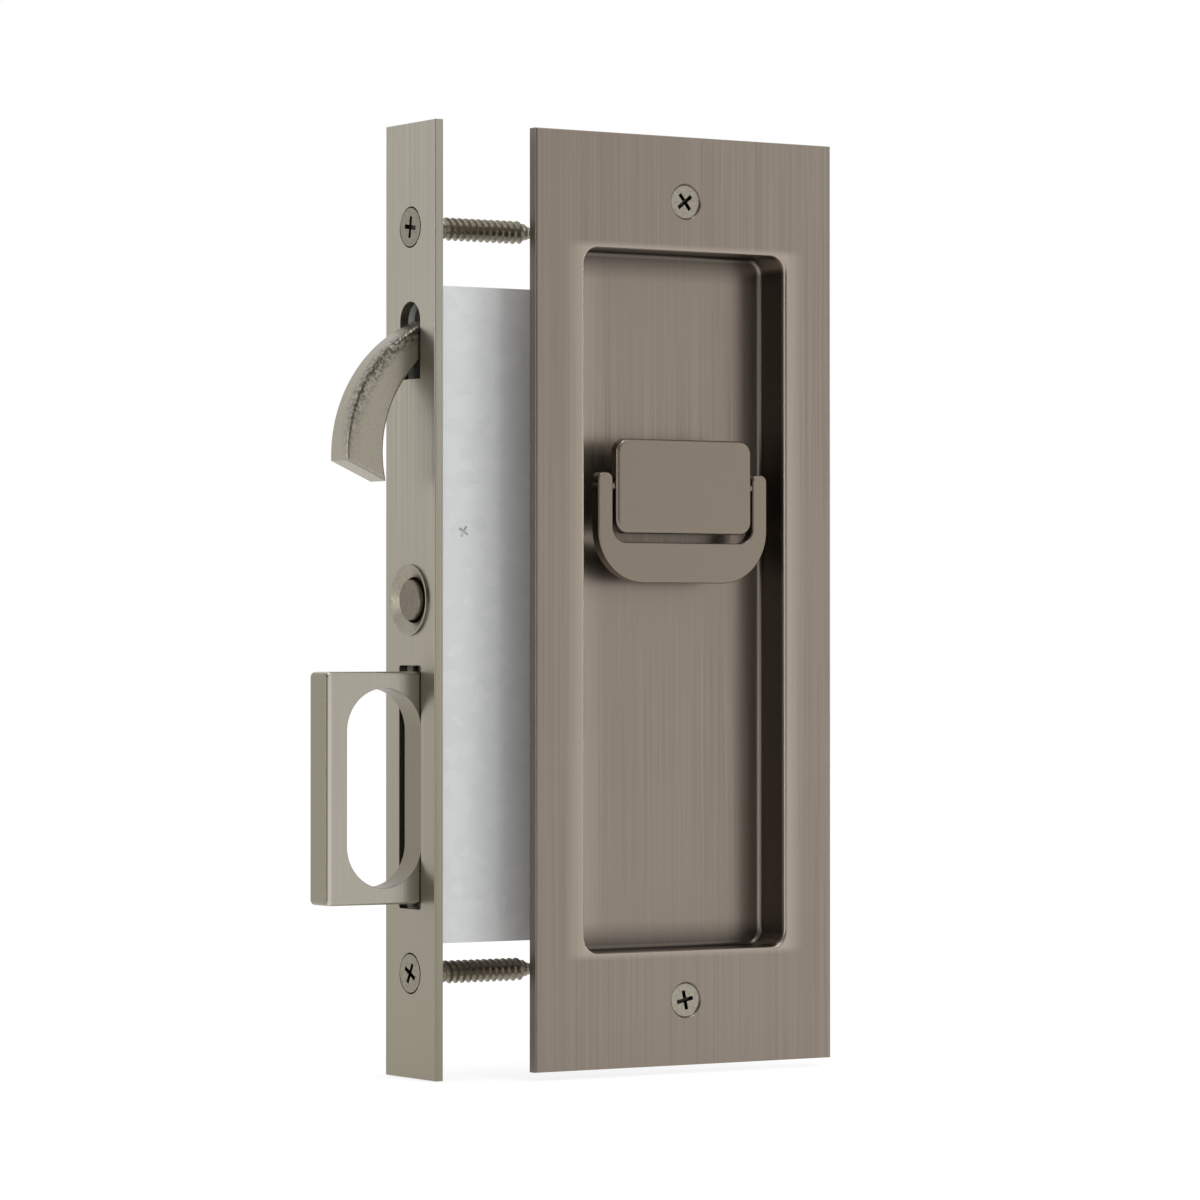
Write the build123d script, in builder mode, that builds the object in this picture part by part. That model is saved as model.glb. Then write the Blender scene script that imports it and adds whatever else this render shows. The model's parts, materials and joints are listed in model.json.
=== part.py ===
from build123d import *
import os
from math import atan2, cos, degrees, hypot, pi, radians, sin, sqrt, tan

# Pocket door lockset: a faceplate on the door edge carries a hook bolt, a push button and a pop-out
# edge pull on a mortise case, and a flush pull on the door face carries the folding turn that
# works the hook.
# X runs into the door from its edge, Y across the door away from the viewer, and Z up.
# The origin is the centre of the faceplate's outer face. Sizes are in millimetres.

# Clearances
SEAT_CLEAR = 0.02  # fixed pin or square in its hole, per side
RUN_CLEAR = 0.06  # pin turning in a bore, per side
OPEN_PIVOT_CLEAR = 0.1  # hook's end of the link, per side
SLIDE_CLEAR = 0.3  # pieces that pass each other
STOP_GAP = 0.3  # moving piece short of its stop

# Door
DOOR_T = 35.0

# Faceplate
FACE_H = 203.2
FACE_W = 20.6
FACE_T = 2.0
FACE_EDGE_R = 0.25
EDGE_SCREW_SPACING = 158.75

# Flat-head screws: faceplate, flush pull and case cover
EDGE_HEAD_R = 4.1
EDGE_SHANK_R = 2.05
EDGE_SCREW_L = 32.0
EDGE_CROSS_L = 4.6
EDGE_CROSS_W = 0.95
EDGE_CROSS_DEG = (8.0, 28.0)
PULL_SHANK_R = 1.75
PULL_HEAD_R = 3.5
PULL_SCREW_L = 19.0
PULL_CROSS_L = 4.2
PULL_CROSS_W = 0.85
PULL_CROSS_DEG = (38.0, 12.0)
COVER_HEAD_R = 2.4
COVER_SHANK_R = 1.25
COVER_SCREW_L = 6.0
COVER_CROSS_L = 2.6
COVER_CROSS_W = 0.6
COVER_CROSS_DEG = (0.0, 20.0, 40.0, 60.0)
SINK_DEG = 82.0
SINK_CLEAR = 0.35
SINK_THROUGH = 0.02  # the flush pull's screw heads are sunk until they reach just past its plate
CROSS_DEPTH = 0.9
CROSS_TAPER = 8.0
POINT_L = 5.0  # tapered end of a wood screw
POINT_RATIO = 0.25  # its end against the shank
COIL_RUNS = 12  # straight runs in a turn of a spring's wire
WIRE_SIDES = 6

# Hook bolt
HOOK_X = 13.5
HOOK_Z = 30.4
HOOK_R_OUT = 31.0
HOOK_R_IN = 22.0
HOOK_R_MID = 22.5
HOOK_R_NECK = 24.8
HOOK_T = 7.4
HOOK_TIP_OUT_DEG = 182.0
HOOK_TIP_IN_DEG = 194.0
HOOK_MID_DEG = 160.0
HOOK_ROOT_DEG = 85.0
HOOK_WEB_DEG = 112.0
HOOK_HUB_R = 7.5
HOOK_PIN_R = 3.0
HOOK_SWING_DEG = 70.0
HOOK_EDGE_R = 0.7
HOOK_SIDE_CLEAR = 0.5
HOOK_UNDER_CLEAR = 0.8
HOOK_OVER_CLEAR = 3.8

# Hub, spindle, crank and link
HUB_X = 57.2
HUB_Z = 24.5
HUB_R = 8.0
JOURNAL_R = 6.0
SPINDLE_W = 5.5
CRANK_R = 12.0
CRANK_BOSS_R = 3.4
LINK_PIN_R = 1.5
LINK_PIN_HEAD_R = 2.5
LINK_PIN_HEAD_T = 0.45
LINK_W = 6.4
LINK_T = 1.6

# Mortise case
CASE_T = 16.0
CASE_WALL = 1.5
CASE_BACK_ROOM = 13.5
CASE_TOP_ROOM = 1.5
CASE_CORNER_R = 2.5
POST_R = 3.0
POST_MARGIN = 1.0
FRONT_POST_X = 8.5
FRONT_POST_ABOVE_CATCH = 9.5
TOP_POST_X = 36.0

# Edge pull
PULL_Z = -39.8
PULL_H = 49.2
PULL_T = 6.9
PULL_OUT = 23.0
PULL_OUTER_LEG = 5.2
PULL_WEB = 3.5
PULL_HOLE_END_X = 0.3
PULL_SHIFT_Y = -0.75
PULL_TRAVEL = 22.7
PULL_CORNER_R = 1.2
PULL_EDGE_R = 0.7
PULL_SLOT_W = 9.1
PULL_SLOT_END_CLEAR = 1.3
PULL_SLOT_R = 0.6
TAIL_END_X = 16.0
TAIL_REACH = 3.7
NOTCH_DEPTH = 1.9
NOTCH_SHOULDER = 2.7

# Guides of the edge pull
GUIDE_DEPTH = 1.9
GUIDE_ROOF = 2.8
GUIDE_SIDE_CLEAR = 0.1
GUIDE_END_X = 38.0
GUIDE_WINDOW_X = 28.0

# Spring of the edge pull and its anchor
PULL_SPRING_R = 3.0
PULL_WIRE_R = 0.4
PULL_SPRING_TURNS = 9
ANCHOR_X = 54.0
ANCHOR_T = 4.0
ANCHOR_H = 12.0
ROD_R = 1.6
ROD_L = 22.0
ROD_BORE_CLEAR = 0.3
ROD_BORE_DEPTH = 8.0

# Push button
BUTTON_ABOVE_GUIDE = 2.0
BUTTON_R = 4.35
BUTTON_PROUD = 0.3
BUTTON_HEAD_L = 3.3
BUTTON_EDGE_R = 0.5
STEM_R = 2.2
STEM_END_X = 15.7
BUSHING_FLANGE_R = 7.6
BUSHING_FLANGE_T = 0.5
BUSHING_RIM = 0.4
BUSHING_DISH = 1.4
BUSHING_R = 6.4
BUSHING_GAP = 0.55
BUSHING_END_X = 9.2
BUSHING_END_T = 1.2
BUTTON_SPRING_R = 3.4
BUTTON_WIRE_R = 0.3
BUTTON_SPRING_TURNS = 4
CLIP_T = 0.7
CLIP_R = 4.2
CLIP_GROOVE_R = 1.7

# Catch lever
CATCH_X = 21.0
CATCH_ABOVE_BUTTON = 5.0
CATCH_T = 3.0
CATCH_HUB_R = 3.0
CATCH_PIN_R = 1.5
CATCH_PAD_R = 1.5
CATCH_NOSE_W = 3.0
CATCH_BEND_R = 3.4

# Flush pull
PLATE_W = 76.2
PLATE_H = 200.0
PLATE_T = 2.5
PLATE_EDGE_R = 0.4
CUP_W = 51.6
CUP_H = 150.4
CUP_DEPTH = 9.5
CUP_WALL = 1.5
CUP_FLOOR = 1.2
CUP_CORNER_R = 3.5
CUP_FLOOR_R = 1.0
CUP_LIP_R = 0.7
PULL_SCREW_SPACING = 172.0

# Turn knob, bail and retaining ring
KNOB_W = 34.8
KNOB_H = 20.3
KNOB_T = 4.6
KNOB_CORNER_R = 2.8
KNOB_EDGE_R = 0.8
KNOB_UNDERCUT = 2.4
KNOB_BELOW_FACE = 0.4
KNOB_BOSS_R = 8.5
KNOB_STEM_R = 6.5
KNOB_STEM_LIP = 0.2
SQUARE_BELOW_PIN = 0.4
BAIL_W = 43.6
BAIL_T = 2.4
BAIL_REACH = 20.7
BAIL_ABOVE_PIN = 2.9
BAIL_CORNER_R = 11.5  # clears the cup's sides as the turn swings
BAIL_BELOW_KNOB_FACE = 0.6
BAIL_SIDE_GAP = 0.6
BAIL_UNDER_GAP = 1.9
BAIL_ARM_END_R = 1.5
BAIL_EDGE_R = 0.4
BAIL_PIN_R = 1.0
BAIL_PIN_INSET = 0.6
RING_R = 8.4
RING_T = 0.6
RING_GAP = 0.1
RING_GROOVE_R = 5.4
RING_MOUTH = 9.7

# Depths across the door
case_far = CASE_T / 2
case_far_in = case_far - CASE_WALL
case_near = -case_far
case_near_in = -case_far_in
plate_back = -DOOR_T / 2
plate_front = plate_back - PLATE_T
floor_front = plate_front + CUP_DEPTH
floor_back = floor_front + CUP_FLOOR
knob_front = plate_front + KNOB_BELOW_FACE
knob_back = knob_front + KNOB_T
boss_back = floor_front - SLIDE_CLEAR
ring_front = floor_back + RING_GAP
ring_back = ring_front + RING_T
stem_back = ring_back + KNOB_STEM_LIP
bail_front = knob_front + BAIL_BELOW_KNOB_FACE
bail_back = bail_front + BAIL_T
bail_pin_y = (bail_front + bail_back) / 2
square_front = bail_pin_y + BAIL_PIN_R + SQUARE_BELOW_PIN
link_near = HOOK_T / 2 + SLIDE_CLEAR
link_far = link_near + LINK_T
pull_far = PULL_SHIFT_Y + PULL_T / 2

# Depths into the door
front_wall_back = FACE_T + CASE_WALL
case_back_in = HUB_X + CASE_BACK_ROOM
case_back = case_back_in + CASE_WALL
tail_front_x = front_wall_back + STOP_GAP
button_back_x = BUTTON_HEAD_L - BUTTON_PROUD
clip_x = BUSHING_END_X + STOP_GAP
notch_end_x = TAIL_END_X - NOTCH_SHOULDER
nose_end_x = notch_end_x + PULL_TRAVEL - STOP_GAP
nose_start_x = nose_end_x - CATCH_NOSE_W
notch_start_x = nose_start_x - PULL_TRAVEL - STOP_GAP

# Heights
hook_slot_w = HOOK_T + 2 * HOOK_SIDE_CLEAR
hook_slot_bottom = HOOK_Z + sqrt(HOOK_R_IN**2 - HOOK_X**2) - HOOK_UNDER_CLEAR
hook_slot_top = HOOK_Z + sqrt(HOOK_R_OUT**2 - (HOOK_X - front_wall_back) ** 2) + HOOK_OVER_CLEAR
hook_slot_arch_z = hook_slot_top - hook_slot_w / 2
pull_slot_h = PULL_H + 2 * PULL_SLOT_END_CLEAR
tail_h = PULL_H + 2 * TAIL_REACH
tail_top = PULL_Z + tail_h / 2
guide_groove = tail_h / 2 + SLIDE_CLEAR
guide_inner = tail_h / 2 - GUIDE_DEPTH
guide_outer = guide_groove + GUIDE_ROOF
button_z = PULL_Z + guide_outer + BUTTON_ABOVE_GUIDE + BUSHING_R
catch_z = button_z + CATCH_ABOVE_BUTTON
front_post_z = catch_z + FRONT_POST_ABOVE_CATCH
case_top_in = hook_slot_top + CASE_TOP_ROOM
case_top = case_top_in + CASE_WALL
case_bottom_in = PULL_Z - guide_outer
case_bottom = case_bottom_in - CASE_WALL
case_mid = (case_top + case_bottom) / 2
nose_bottom = tail_top + SLIDE_CLEAR
bail_bottom = HUB_Z - BAIL_REACH
bail_inner_bottom = HUB_Z - KNOB_H / 2 - BAIL_UNDER_GAP
bail_top = HUB_Z + BAIL_ABOVE_PIN

# Places in the XZ plane
hook_pivot = (HOOK_X, HOOK_Z)
hub_axis = (HUB_X, HUB_Z)
catch_pivot = (CATCH_X, catch_z)
post_edge = POST_R + POST_MARGIN
posts = [
    (TOP_POST_X, case_top_in - post_edge),
    (case_back_in - post_edge, case_top_in - post_edge),
    (case_back_in - post_edge, case_bottom_in + post_edge),
    (FRONT_POST_X, front_post_z),
]
sink_slope = tan(radians(SINK_DEG / 2))
pull_sink_r = PULL_SHANK_R + (PLATE_T + SINK_THROUGH) * sink_slope
pull_head_y = plate_front + (pull_sink_r - PULL_HEAD_R) / sink_slope
link_length = hypot(HUB_X - HOOK_X, HUB_Z - HOOK_Z)
link_deg = degrees(atan2(HOOK_Z - HUB_Z, HOOK_X - HUB_X))
crank_deg = link_deg - 90 + HOOK_SWING_DEG / 2


def side_plane(y):
    """Plane at depth y across the door, with X to the right and Z up. It extrudes to the viewer."""
    return Plane.XZ.offset(-y)


def edge_plane(x):
    """Plane at depth x from the door edge, with Y to the right and Z up. It extrudes into the door."""
    return Plane.YZ.offset(x)


def edge_face(z, turn=0.0):
    """Place on the faceplate's outer face at height z, facing out, turned about its normal."""
    across = (0, cos(radians(turn)), sin(radians(turn)))
    return Plane(origin=(0, 0, z), x_dir=across, z_dir=(-1, 0, 0))


def near_face(x, y, z, turn=0.0):
    """Place on a face that looks at the viewer, turned about its normal."""
    across = (cos(radians(turn)), 0, sin(radians(turn)))
    return Plane(origin=(x, y, z), x_dir=across, z_dir=(0, -1, 0))


def polar(center, radius, angle):
    """Point at a radius and an angle from +X about a centre in the XZ plane."""
    return (center[0] + radius * cos(radians(angle)), center[1] + radius * sin(radians(angle)))


hook_crank = polar(hook_pivot, CRANK_R, crank_deg)
hub_crank = polar(hub_axis, CRANK_R, crank_deg)


def front_openings(mode):
    """Hook slot with its arched top, button hole and edge pull slot, as the case front repeats them."""
    with Locations((0, hook_slot_bottom)):
        Rectangle(
            hook_slot_w,
            hook_slot_arch_z - hook_slot_bottom,
            align=(Align.CENTER, Align.MIN),
            mode=mode,
        )
    with Locations((0, hook_slot_arch_z)):
        Circle(hook_slot_w / 2, mode=mode)
    with Locations((0, button_z)):
        Circle(BUSHING_R + SEAT_CLEAR, mode=mode)
    with Locations((0, PULL_Z)):
        RectangleRounded(PULL_SLOT_W, pull_slot_h, PULL_SLOT_R, mode=mode)


def sink_depth(head_r, shank_r):
    """Height of a countersunk head's cone."""
    return (head_r - shank_r) / sink_slope


def flat_head_screw(head_r, shank_r, length, cross_l, cross_w, point_l):
    """Flat-head screw with a cross recess, its head flush with Z = 0 and its shank along -Z."""
    cone = sink_depth(head_r, shank_r)
    tip_r = shank_r * POINT_RATIO if point_l else shank_r
    with BuildPart() as screw:
        with BuildSketch(Plane.XZ):
            Polygon(
                (0, 0),
                (head_r, 0),
                (shank_r, -cone),
                (shank_r, point_l - length),
                (tip_r, -length),
                (0, -length),
                align=None,
            )
        revolve(axis=Axis.Z)
        with BuildSketch():
            Rectangle(cross_l, cross_w)
            Rectangle(cross_w, cross_l)
        extrude(amount=-CROSS_DEPTH, taper=CROSS_TAPER, mode=Mode.SUBTRACT)
    return screw.part


def coil_spring(start_x, end_x, y, z, radius, wire_r, turns):
    """Coil spring along X between two seats, its wire bent in short straight runs."""
    first_x = start_x + wire_r + SEAT_CLEAR
    rise = (end_x - start_x - 2 * (wire_r + SEAT_CLEAR)) / (turns * COIL_RUNS)
    step = 2 * pi / COIL_RUNS
    bends = [
        (first_x + rise * i, y + radius * cos(step * i), z + radius * sin(step * i))
        for i in range(turns * COIL_RUNS + 1)
    ]
    with BuildPart() as spring:
        with BuildLine() as wire:
            Polyline(*bends)
        with BuildSketch(Plane(origin=wire.line @ 0, z_dir=wire.line % 0)):
            RegularPolygon(wire_r, WIRE_SIDES)
        sweep(transition=Transition.RIGHT)
    return spring.part


# Faceplate
with BuildPart() as faceplate:
    with BuildSketch(edge_plane(0)):
        Rectangle(FACE_W, FACE_H)
        front_openings(Mode.SUBTRACT)
    extrude(amount=FACE_T)
    fillet(faceplate.faces().sort_by(Axis.X)[0].outer_wire().edges(), FACE_EDGE_R)
    with Locations(*[edge_face(s * EDGE_SCREW_SPACING / 2) for s in (1, -1)]):
        CounterSinkHole(
            EDGE_SHANK_R + SEAT_CLEAR,
            EDGE_HEAD_R + SINK_CLEAR,
            counter_sink_angle=SINK_DEG,
        )

edge_screw = flat_head_screw(
    EDGE_HEAD_R, EDGE_SHANK_R, EDGE_SCREW_L, EDGE_CROSS_L, EDGE_CROSS_W, POINT_L
)
with BuildPart() as faceplate_screws:
    for side, turn in zip((1, -1), EDGE_CROSS_DEG):
        with Locations(edge_face(side * EDGE_SCREW_SPACING / 2, turn)):
            add(edge_screw)

# Mortise case: a pan open to the viewer's side, its front wall pierced like the faceplate
with BuildPart() as case:
    with BuildSketch(side_plane(case_far)):
        with Locations((FACE_T, case_mid)):
            Rectangle(case_back - FACE_T, case_top - case_bottom, align=(Align.MIN, Align.CENTER))
    extrude(amount=CASE_T - CASE_WALL)
    fillet(case.edges().filter_by(Axis.Y).group_by(Axis.X)[-1], CASE_CORNER_R)
    offset(amount=-CASE_WALL, openings=case.faces().sort_by(Axis.Y)[0])
    with BuildSketch(edge_plane(FACE_T)):
        front_openings(Mode.ADD)
    extrude(amount=CASE_WALL, mode=Mode.SUBTRACT)
    with BuildSketch(side_plane(case_far)):
        with Locations(hub_axis):
            Circle(JOURNAL_R + RUN_CLEAR)
        with Locations(hook_pivot):
            Circle(HOOK_PIN_R + SEAT_CLEAR)
        with Locations(catch_pivot):
            Circle(CATCH_PIN_R + SEAT_CLEAR)
    extrude(amount=CASE_WALL, mode=Mode.SUBTRACT)

with BuildPart() as case_cover:
    with BuildSketch(side_plane(case_near_in)):
        with Locations((FACE_T, case_mid)):
            Rectangle(case_back - FACE_T, case_top - case_bottom, align=(Align.MIN, Align.CENTER))
        with Locations(hub_axis):
            Circle(JOURNAL_R + RUN_CLEAR, mode=Mode.SUBTRACT)
        with Locations(hook_pivot):
            Circle(HOOK_PIN_R + SEAT_CLEAR, mode=Mode.SUBTRACT)
        with Locations(catch_pivot):
            Circle(CATCH_PIN_R + SEAT_CLEAR, mode=Mode.SUBTRACT)
    extrude(amount=CASE_WALL)
    fillet(case_cover.edges().filter_by(Axis.Y).filter_by(GeomType.LINE).group_by(Axis.X)[-1], CASE_CORNER_R)
    with Locations(*[near_face(x, case_near, z) for x, z in posts]):
        CounterSinkHole(
            COVER_SHANK_R + SEAT_CLEAR, COVER_HEAD_R + SEAT_CLEAR, counter_sink_angle=SINK_DEG
        )

with BuildPart() as cover_posts:
    with BuildSketch(side_plane(case_far_in)):
        with Locations(*posts):
            Circle(POST_R)
            Circle(COVER_SHANK_R + SEAT_CLEAR, mode=Mode.SUBTRACT)
    extrude(amount=case_far_in - case_near_in)

cover_screw = flat_head_screw(
    COVER_HEAD_R, COVER_SHANK_R, COVER_SCREW_L, COVER_CROSS_L, COVER_CROSS_W, 0
)
with BuildPart() as cover_screws:
    for (x, z), turn in zip(posts, COVER_CROSS_DEG):
        with Locations(near_face(x, case_near, z, turn)):
            add(cover_screw)

# Hook bolt: an arc about its pivot, with the web and boss that take the link
with BuildPart() as hook_bolt:
    with BuildSketch(side_plane(HOOK_T / 2)):
        with BuildLine():
            outer = CenterArc(hook_pivot, HOOK_R_OUT, HOOK_ROOT_DEG, HOOK_TIP_OUT_DEG - HOOK_ROOT_DEG)
            inner = ThreePointArc(
                polar(hook_pivot, HOOK_R_IN, HOOK_TIP_IN_DEG),
                polar(hook_pivot, HOOK_R_MID, HOOK_MID_DEG),
                polar(hook_pivot, HOOK_R_NECK, HOOK_WEB_DEG),
            )
            Line(outer @ 1, inner @ 0)
            Polyline(
                inner @ 1,
                polar(hook_pivot, HOOK_HUB_R, HOOK_WEB_DEG),
                polar(hook_pivot, HOOK_HUB_R, HOOK_ROOT_DEG),
                outer @ 0,
            )
        make_face()
        with Locations(hook_pivot):
            Circle(HOOK_HUB_R)
        with Locations(hook_crank):
            Circle(CRANK_BOSS_R)
        with Locations(hook_pivot):
            Circle(HOOK_PIN_R + RUN_CLEAR, mode=Mode.SUBTRACT)
        with Locations(hook_crank):
            Circle(LINK_PIN_R + SEAT_CLEAR, mode=Mode.SUBTRACT)
    extrude(amount=HOOK_T)
    tip_edges = hook_bolt.edges().filter_by(Axis.Y, reverse=True)
    tip_edges = tip_edges.filter_by_position(Axis.X, HOOK_X - HOOK_R_OUT, 0)
    fillet(tip_edges, HOOK_EDGE_R)

with BuildPart() as hook_pivot_pin:
    with BuildSketch(side_plane(case_far)):
        with Locations(hook_pivot):
            Circle(HOOK_PIN_R)
    extrude(amount=CASE_T)

# Hub follower, spindle and the link that swings the hook
with BuildPart() as hub_follower:
    with BuildSketch(side_plane(HOOK_T / 2)):
        with Locations(hub_axis):
            Circle(HUB_R)
        with Locations(hub_crank):
            Circle(CRANK_BOSS_R)
        make_hull()
    extrude(amount=HOOK_T)
    with BuildSketch(side_plane(case_far)):
        with Locations(hub_axis):
            Circle(JOURNAL_R)
    extrude(amount=CASE_T)
    with BuildSketch(side_plane(case_far)):
        with Locations(hub_axis):
            Rectangle(SPINDLE_W + 2 * SEAT_CLEAR, SPINDLE_W + 2 * SEAT_CLEAR)
        with Locations(hub_crank):
            Circle(LINK_PIN_R + SEAT_CLEAR)
    extrude(amount=CASE_T, mode=Mode.SUBTRACT)

with BuildPart() as spindle:
    with BuildSketch(side_plane(case_far_in)):
        with Locations(hub_axis):
            Rectangle(SPINDLE_W, SPINDLE_W)
    extrude(amount=case_far_in - square_front - SLIDE_CLEAR)

with BuildPart() as link:
    with BuildSketch(side_plane(link_far)):
        link_mid = ((hook_crank[0] + hub_crank[0]) / 2, (hook_crank[1] + hub_crank[1]) / 2)
        with Locations(link_mid):
            SlotCenterToCenter(link_length, LINK_W, rotation=link_deg)
        with Locations(hub_crank):
            Circle(LINK_PIN_R + RUN_CLEAR, mode=Mode.SUBTRACT)
        with Locations(hook_crank):
            Circle(LINK_PIN_R + OPEN_PIVOT_CLEAR, mode=Mode.SUBTRACT)
    extrude(amount=LINK_T)


def link_pin(crank):
    """Headed pin through a crank boss, with its head outside the link."""
    head_near = link_far + RUN_CLEAR
    with BuildPart() as pin:
        with BuildSketch(side_plane(head_near)):
            with Locations(crank):
                Circle(LINK_PIN_R)
        extrude(amount=head_near + HOOK_T / 2)
        with BuildSketch(side_plane(head_near + LINK_PIN_HEAD_T)):
            with Locations(crank):
                Circle(LINK_PIN_HEAD_R)
        extrude(amount=LINK_PIN_HEAD_T)
    return pin.part


with BuildPart() as hub_link_pin:
    add(link_pin(hub_crank))

with BuildPart() as hook_link_pin:
    add(link_pin(hook_crank))

# Edge pull: a plate with an obround finger hole, a wider tail as its stop, and the catch's notch
loop_w = PULL_OUT + TAIL_END_X
hole_w = PULL_OUT - PULL_OUTER_LEG + PULL_HOLE_END_X
with BuildPart() as edge_pull:
    with BuildSketch(side_plane(pull_far)):
        with Locations((-PULL_OUT, PULL_Z)):
            Rectangle(loop_w, PULL_H, align=(Align.MIN, Align.CENTER))
        with Locations((tail_front_x, PULL_Z)):
            Rectangle(TAIL_END_X - tail_front_x, tail_h, align=(Align.MIN, Align.CENTER))
        with Locations((PULL_HOLE_END_X - hole_w / 2, PULL_Z)):
            SlotOverall(PULL_H - 2 * PULL_WEB, hole_w, rotation=90, mode=Mode.SUBTRACT)
        with Locations((notch_start_x, tail_top)):
            Rectangle(
                notch_end_x - notch_start_x,
                NOTCH_DEPTH,
                align=(Align.MIN, Align.MAX),
                mode=Mode.SUBTRACT,
            )
    extrude(amount=PULL_T)
    with BuildSketch(edge_plane(TAIL_END_X)):
        with Locations((PULL_SHIFT_Y, PULL_Z)):
            Circle(ROD_R + ROD_BORE_CLEAR)
    extrude(amount=-ROD_BORE_DEPTH, mode=Mode.SUBTRACT)
    fillet(edge_pull.edges().filter_by(Axis.Y).group_by(Axis.X)[0], PULL_CORNER_R)
    outer_end = edge_pull.edges().filter_by_position(Axis.X, -PULL_OUT, -PULL_OUT + PULL_CORNER_R)
    fillet(outer_end.filter_by(Axis.Z), PULL_EDGE_R)

# Guides: bars above and below the tail, grooved for its ends; the upper one is open for the catch
groove_w = PULL_T + 2 * GUIDE_SIDE_CLEAR


def pull_guide(side):
    """Grooved guide bar above (1) or below (-1) the edge pull's tail, standing between the case walls."""
    middle = PULL_Z + side * (guide_inner + guide_outer) / 2
    groove = PULL_Z + side * (guide_inner + guide_groove) / 2
    with BuildPart() as guide:
        with BuildSketch(edge_plane(front_wall_back)):
            with Locations((0, middle)):
                Rectangle(case_far_in - case_near_in, guide_outer - guide_inner)
            with Locations((PULL_SHIFT_Y, groove)):
                Rectangle(groove_w, guide_groove - guide_inner, mode=Mode.SUBTRACT)
        extrude(amount=GUIDE_END_X - front_wall_back)
    return guide.part


with BuildPart() as upper_guide:
    add(pull_guide(1))
    with BuildSketch(edge_plane(GUIDE_WINDOW_X)):
        with Locations((PULL_SHIFT_Y, PULL_Z + guide_outer)):
            Rectangle(CATCH_T + 2 * SLIDE_CLEAR, 2 * GUIDE_ROOF)
    extrude(amount=GUIDE_END_X - GUIDE_WINDOW_X, mode=Mode.SUBTRACT)

with BuildPart() as lower_guide:
    add(pull_guide(-1))

# Spring of the edge pull on its anchor's rod
with BuildPart() as spring_anchor:
    with BuildSketch(edge_plane(ANCHOR_X)):
        with Locations((0, PULL_Z)):
            Rectangle(case_far_in - case_near_in, ANCHOR_H)
    extrude(amount=ANCHOR_T)
    with BuildSketch(edge_plane(ANCHOR_X)):
        with Locations((PULL_SHIFT_Y, PULL_Z)):
            Circle(ROD_R)
    extrude(amount=-ROD_L)

with BuildPart() as pull_spring:
    add(
        coil_spring(
            TAIL_END_X,
            ANCHOR_X,
            PULL_SHIFT_Y,
            PULL_Z,
            PULL_SPRING_R,
            PULL_WIRE_R,
            PULL_SPRING_TURNS,
        )
    )

# Push button in its dished bushing
bushing_bore = BUTTON_R + BUSHING_GAP
button_axis = Axis((0, 0, button_z), (1, 0, 0))
with BuildPart() as button_bushing:
    with BuildSketch(Plane.XY.offset(button_z)):
        Polygon(
            (BUSHING_DISH - BUSHING_FLANGE_T, bushing_bore),
            (-BUSHING_FLANGE_T, BUSHING_FLANGE_R - BUSHING_RIM),
            (-BUSHING_FLANGE_T, BUSHING_FLANGE_R),
            (0, BUSHING_FLANGE_R),
            (0, BUSHING_R),
            (BUSHING_END_X, BUSHING_R),
            (BUSHING_END_X, STEM_R + RUN_CLEAR),
            (BUSHING_END_X - BUSHING_END_T, STEM_R + RUN_CLEAR),
            (BUSHING_END_X - BUSHING_END_T, bushing_bore),
            align=None,
        )
    revolve(axis=button_axis)

with BuildPart() as button:
    with BuildSketch(Plane.XY.offset(button_z)):
        Polygon(
            (-BUTTON_PROUD, 0),
            (-BUTTON_PROUD, BUTTON_R),
            (button_back_x, BUTTON_R),
            (button_back_x, STEM_R),
            (clip_x, STEM_R),
            (clip_x, CLIP_GROOVE_R),
            (clip_x + CLIP_T, CLIP_GROOVE_R),
            (clip_x + CLIP_T, STEM_R),
            (STEM_END_X, STEM_R),
            (STEM_END_X, 0),
            align=None,
        )
    revolve(axis=button_axis)
    fillet(button.edges().filter_by(GeomType.CIRCLE).group_by(Axis.X)[0], BUTTON_EDGE_R)

with BuildPart() as button_spring:
    add(
        coil_spring(
            button_back_x,
            BUSHING_END_X - BUSHING_END_T,
            0,
            button_z,
            BUTTON_SPRING_R,
            BUTTON_WIRE_R,
            BUTTON_SPRING_TURNS,
        )
    )

with BuildPart() as button_clip:
    with BuildSketch(edge_plane(clip_x + SEAT_CLEAR)):
        with Locations((0, button_z)):
            Circle(CLIP_R)
            Circle(CLIP_GROOVE_R + SEAT_CLEAR, mode=Mode.SUBTRACT)
            Rectangle(CLIP_R, 2 * CLIP_GROOVE_R, align=(Align.MIN, Align.CENTER), mode=Mode.SUBTRACT)
    extrude(amount=CLIP_T - 2 * SEAT_CLEAR)

# Catch lever: the button's stem pushes its pad, and its nose rides over the edge pull's tail
pad_center = (STEM_END_X + STOP_GAP + CATCH_PAD_R, button_z)
nose_mid = (nose_start_x + nose_end_x) / 2
with BuildPart() as catch_lever:
    with BuildSketch(side_plane(PULL_SHIFT_Y + CATCH_T / 2)):
        with Locations(catch_pivot):
            Circle(CATCH_HUB_R)
        with Locations(pad_center):
            Circle(CATCH_PAD_R)
        make_hull()
        with BuildLine():
            FilletPolyline(
                catch_pivot,
                (nose_mid, catch_z),
                (nose_mid, nose_bottom),
                radius=CATCH_BEND_R,
            )
        trace(line_width=CATCH_NOSE_W)
        with Locations(catch_pivot):
            Circle(CATCH_PIN_R + RUN_CLEAR, mode=Mode.SUBTRACT)
    extrude(amount=CATCH_T)

with BuildPart() as catch_pin:
    with BuildSketch(side_plane(case_far)):
        with Locations(catch_pivot):
            Circle(CATCH_PIN_R)
    extrude(amount=CASE_T)

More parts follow.
